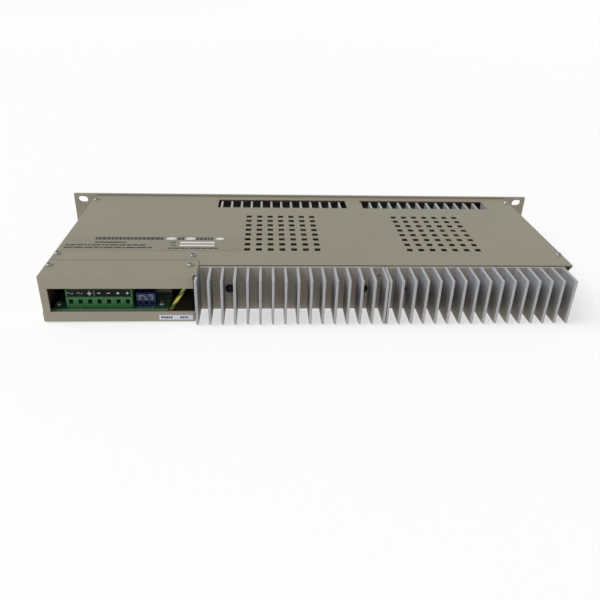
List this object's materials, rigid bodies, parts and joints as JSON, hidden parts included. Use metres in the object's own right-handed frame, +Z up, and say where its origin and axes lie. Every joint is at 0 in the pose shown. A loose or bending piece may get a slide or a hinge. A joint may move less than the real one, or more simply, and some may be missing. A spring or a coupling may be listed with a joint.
{
  "type": "rackmount power supply unit",
  "caption": "One-unit rack power supply: folded beige case with vented cover, finned heatsinks across the back and a recessed terminal bay.",
  "frame": {"origin": "centre of the four rack slots on the rear face of the front panel, which is the plane that bears on the rack rails", "axes": "+X along the front panel towards the terminal bay, -Y out of the front panel towards the user, +Z up"},
  "size_m": [0.4826, 0.1876, 0.0443],
  "materials": {
    "beige_paint": "satin powder coat, fine texture",
    "zinc_screw": "bright zinc plated",
    "heatsink_aluminium": "extruded, matt, cut ends bright",
    "black_screw": "blackened steel",
    "rating_film": "satin printed film",
    "serial_label": "satin printed label",
    "board_green": "solder mask over glass fibre",
    "block_green": "moulded polyamide",
    "marker_black": "moulded strip",
    "plated_brass": "tin plated",
    "clamp_screw": "zinc plated",
    "connector_blue": "moulded polyamide",
    "earth_insulation": "yellow and green insulation",
    "switch_black": "moulded",
    "rocker_red": "moulded, satin",
    "light_green": "tinted lens",
    "spacer_brass": "turned",
    "ferrite": "sintered ferrite",
    "winding_tape": "polyester tape",
    "can_sleeve": "shrink sleeve over aluminium",
    "powder_core": "coated powder core",
    "copper_wire": "enamelled copper",
    "package_black": "moulded epoxy",
    "insulating_pad": "silicone pad",
    "relay_case": "moulded",
    "fuse_parts": "glass tube, plated caps and clips",
    "filter_can": "tinned steel",
    "wire_brown": "PVC",
    "wire_red": "PVC"
  },
  "bodies": {
    "unit": {"front_panel": "beige_paint", "chassis": "beige_paint", "top_cover": "beige_paint", "terminal_cover": "beige_paint", "cover_screws": "zinc_screw", "panel_screws": "zinc_screw", "rear_heatsink_a": "heatsink_aluminium", "rear_heatsink_b": "heatsink_aluminium", "front_heatsink_a": "heatsink_aluminium", "front_heatsink_b": "heatsink_aluminium", "heatsink_screws": "black_screw", "rating_film": "rating_film", "serial_label": "serial_label", "terminal_board": "board_green", "terminal_block": "block_green", "terminal_marker": "marker_black", "contact_bars": "plated_brass", "relay_connector": "connector_blue", "earth_wire": "earth_insulation", "earth_fixings": "zinc_screw", "switch_body": "switch_black", "status_lights": "light_green", "power_board_a": "board_green", "power_board_b": "board_green", "board_spacers": "spacer_brass", "inside_screws": "zinc_screw", "transformer_cores": "ferrite", "transformer_windings": "winding_tape", "bulk_capacitors": "can_sleeve", "output_capacitors": "can_sleeve", "choke_cores": "powder_core", "choke_windings": "copper_wire", "power_devices": "package_black", "device_pads": "insulating_pad", "alarm_relay": "relay_case", "mains_fuse": "fuse_parts", "line_filter": "filter_can", "mains_wires": "wire_brown", "output_wires": "wire_red"},
    "block_screw_1": {"block_screw_1": "clamp_screw"},
    "block_cage_1": {"block_cage_1": "plated_brass"},
    "block_screw_2": {"block_screw_2": "clamp_screw"},
    "block_cage_2": {"block_cage_2": "plated_brass"},
    "block_screw_3": {"block_screw_3": "clamp_screw"},
    "block_cage_3": {"block_cage_3": "plated_brass"},
    "block_screw_4": {"block_screw_4": "clamp_screw"},
    "block_cage_4": {"block_cage_4": "plated_brass"},
    "block_screw_5": {"block_screw_5": "clamp_screw"},
    "block_cage_5": {"block_cage_5": "plated_brass"},
    "block_screw_6": {"block_screw_6": "clamp_screw"},
    "block_cage_6": {"block_cage_6": "plated_brass"},
    "block_screw_7": {"block_screw_7": "clamp_screw"},
    "block_cage_7": {"block_cage_7": "plated_brass"},
    "relay_screw_1": {"relay_screw_1": "clamp_screw"},
    "relay_cage_1": {"relay_cage_1": "plated_brass"},
    "relay_screw_2": {"relay_screw_2": "clamp_screw"},
    "relay_cage_2": {"relay_cage_2": "plated_brass"},
    "relay_screw_3": {"relay_screw_3": "clamp_screw"},
    "relay_cage_3": {"relay_cage_3": "plated_brass"},
    "rocker": {"switch_rocker": "rocker_red"}
  },
  "joints": [
    {"name": "block_screw_1_turn", "type": "hinge", "parent": "unit", "child": "block_screw_1", "pos_m": [0.198, 0.1609, 0.0016], "axis": [0, 0, -1], "range_deg": [0, 1800]},
    {"name": "block_cage_1_rise", "type": "slide", "parent": "unit", "child": "block_cage_1", "axis": [0, 0, 1], "range_m": [0, 0.0025]},
    {"name": "block_screw_2_turn", "type": "hinge", "parent": "unit", "child": "block_screw_2", "pos_m": [0.1905, 0.1609, 0.0016], "axis": [0, 0, -1], "range_deg": [0, 1800]},
    {"name": "block_cage_2_rise", "type": "slide", "parent": "unit", "child": "block_cage_2", "axis": [0, 0, 1], "range_m": [0, 0.0025]},
    {"name": "block_screw_3_turn", "type": "hinge", "parent": "unit", "child": "block_screw_3", "pos_m": [0.183, 0.1609, 0.0016], "axis": [0, 0, -1], "range_deg": [0, 1800]},
    {"name": "block_cage_3_rise", "type": "slide", "parent": "unit", "child": "block_cage_3", "axis": [0, 0, 1], "range_m": [0, 0.0025]},
    {"name": "block_screw_4_turn", "type": "hinge", "parent": "unit", "child": "block_screw_4", "pos_m": [0.1755, 0.1609, 0.0016], "axis": [0, 0, -1], "range_deg": [0, 1800]},
    {"name": "block_cage_4_rise", "type": "slide", "parent": "unit", "child": "block_cage_4", "axis": [0, 0, 1], "range_m": [0, 0.0025]},
    {"name": "block_screw_5_turn", "type": "hinge", "parent": "unit", "child": "block_screw_5", "pos_m": [0.168, 0.1609, 0.0016], "axis": [0, 0, -1], "range_deg": [0, 1800]},
    {"name": "block_cage_5_rise", "type": "slide", "parent": "unit", "child": "block_cage_5", "axis": [0, 0, 1], "range_m": [0, 0.0025]},
    {"name": "block_screw_6_turn", "type": "hinge", "parent": "unit", "child": "block_screw_6", "pos_m": [0.1605, 0.1609, 0.0016], "axis": [0, 0, -1], "range_deg": [0, 1800]},
    {"name": "block_cage_6_rise", "type": "slide", "parent": "unit", "child": "block_cage_6", "axis": [0, 0, 1], "range_m": [0, 0.0025]},
    {"name": "block_screw_7_turn", "type": "hinge", "parent": "unit", "child": "block_screw_7", "pos_m": [0.153, 0.1609, 0.0016], "axis": [0, 0, -1], "range_deg": [0, 1800]},
    {"name": "block_cage_7_rise", "type": "slide", "parent": "unit", "child": "block_cage_7", "axis": [0, 0, 1], "range_m": [0, 0.0025]},
    {"name": "relay_screw_1_turn", "type": "hinge", "parent": "unit", "child": "relay_screw_1", "pos_m": [0.1439, 0.1608, -0.003], "axis": [0, 0, -1], "range_deg": [0, 1440]},
    {"name": "relay_cage_1_rise", "type": "slide", "parent": "unit", "child": "relay_cage_1", "axis": [0, 0, 1], "range_m": [0, 0.0018]},
    {"name": "relay_screw_2_turn", "type": "hinge", "parent": "unit", "child": "relay_screw_2", "pos_m": [0.1389, 0.1608, -0.003], "axis": [0, 0, -1], "range_deg": [0, 1440]},
    {"name": "relay_cage_2_rise", "type": "slide", "parent": "unit", "child": "relay_cage_2", "axis": [0, 0, 1], "range_m": [0, 0.0018]},
    {"name": "relay_screw_3_turn", "type": "hinge", "parent": "unit", "child": "relay_screw_3", "pos_m": [0.1339, 0.1608, -0.003], "axis": [0, 0, -1], "range_deg": [0, 1440]},
    {"name": "relay_cage_3_rise", "type": "slide", "parent": "unit", "child": "relay_cage_3", "axis": [0, 0, 1], "range_m": [0, 0.0018]},
    {"name": "rocker_tilt", "type": "hinge", "parent": "unit", "child": "rocker", "pos_m": [0.18, 0, 0], "axis": [0, 0, 1], "range_deg": [0, 24]}
  ],
  "couplings": [
    {"joint": "block_screw_1_turn", "follows": "block_cage_1_rise", "rad_per_m": 12565},
    {"joint": "block_screw_2_turn", "follows": "block_cage_2_rise", "rad_per_m": 12565},
    {"joint": "block_screw_3_turn", "follows": "block_cage_3_rise", "rad_per_m": 12565},
    {"joint": "block_screw_4_turn", "follows": "block_cage_4_rise", "rad_per_m": 12565},
    {"joint": "block_screw_5_turn", "follows": "block_cage_5_rise", "rad_per_m": 12565},
    {"joint": "block_screw_6_turn", "follows": "block_cage_6_rise", "rad_per_m": 12565},
    {"joint": "block_screw_7_turn", "follows": "block_cage_7_rise", "rad_per_m": 12565},
    {"joint": "relay_screw_1_turn", "follows": "relay_cage_1_rise", "rad_per_m": 13961},
    {"joint": "relay_screw_2_turn", "follows": "relay_cage_2_rise", "rad_per_m": 13961},
    {"joint": "relay_screw_3_turn", "follows": "relay_cage_3_rise", "rad_per_m": 13961}
  ]
}
